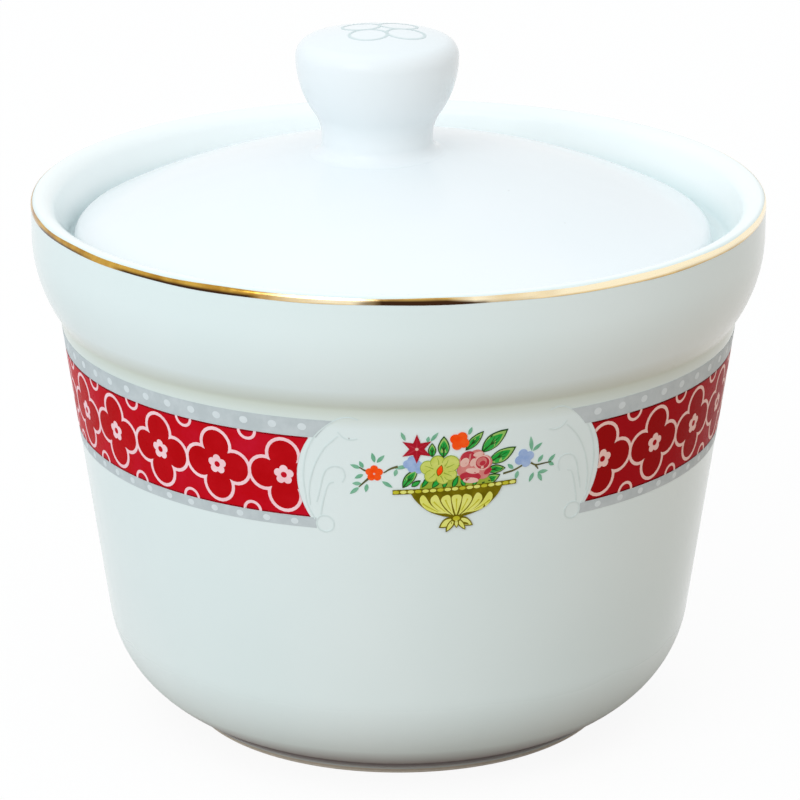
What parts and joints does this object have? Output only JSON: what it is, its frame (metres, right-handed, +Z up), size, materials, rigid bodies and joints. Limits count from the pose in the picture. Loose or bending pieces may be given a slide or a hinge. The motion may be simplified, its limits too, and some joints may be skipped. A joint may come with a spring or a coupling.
{
  "type": "lidded rice bowl",
  "caption": "Deep porcelain rice bowl with a gold-lined collar, a red flower band and a domed lid with a knob that rests on an inner ledge.",
  "frame": {"origin": "on the table, at the centre of the foot ring", "axes": "+Z up along the bowl's axis; -Y is the side with the front flower basket; +X is to that side's right"},
  "size_m": [0.1503, 0.1504, 0.1441],
  "materials": {
    "porcelain": "clear gloss glaze over white porcelain with a faint blue-green cast",
    "lid_porcelain": "clear gloss glaze over white porcelain with a faint blue-green cast",
    "gilding": "bright fired gold, slightly uneven in width",
    "red_enamel": "gloss overglaze enamel with pale outlines",
    "grey_enamel": "pale grey overglaze enamel with white dots",
    "basket_enamel": "overglaze enamels in yellow, orange, red, pink, blue and green",
    "line_enamel": "thin pale grey overglaze line"
  },
  "bodies": {
    "bowl": {"bowl_body": "porcelain", "gold_line": "gilding", "red_panel_left": "red_enamel", "red_panel_right": "red_enamel", "upper_border_left": "grey_enamel", "upper_border_right": "grey_enamel", "lower_border_left": "grey_enamel", "lower_border_right": "grey_enamel", "basket_front": "basket_enamel", "basket_rear": "basket_enamel"},
    "lid": {"lid_plate": "lid_porcelain", "lid_knob": "lid_porcelain", "knob_flower": "line_enamel"}
  },
  "joints": [
    {"name": "lid_lift", "type": "slide", "parent": "bowl", "child": "lid", "axis": [0, 0, 1], "range_m": [0, 0.14]}
  ]
}
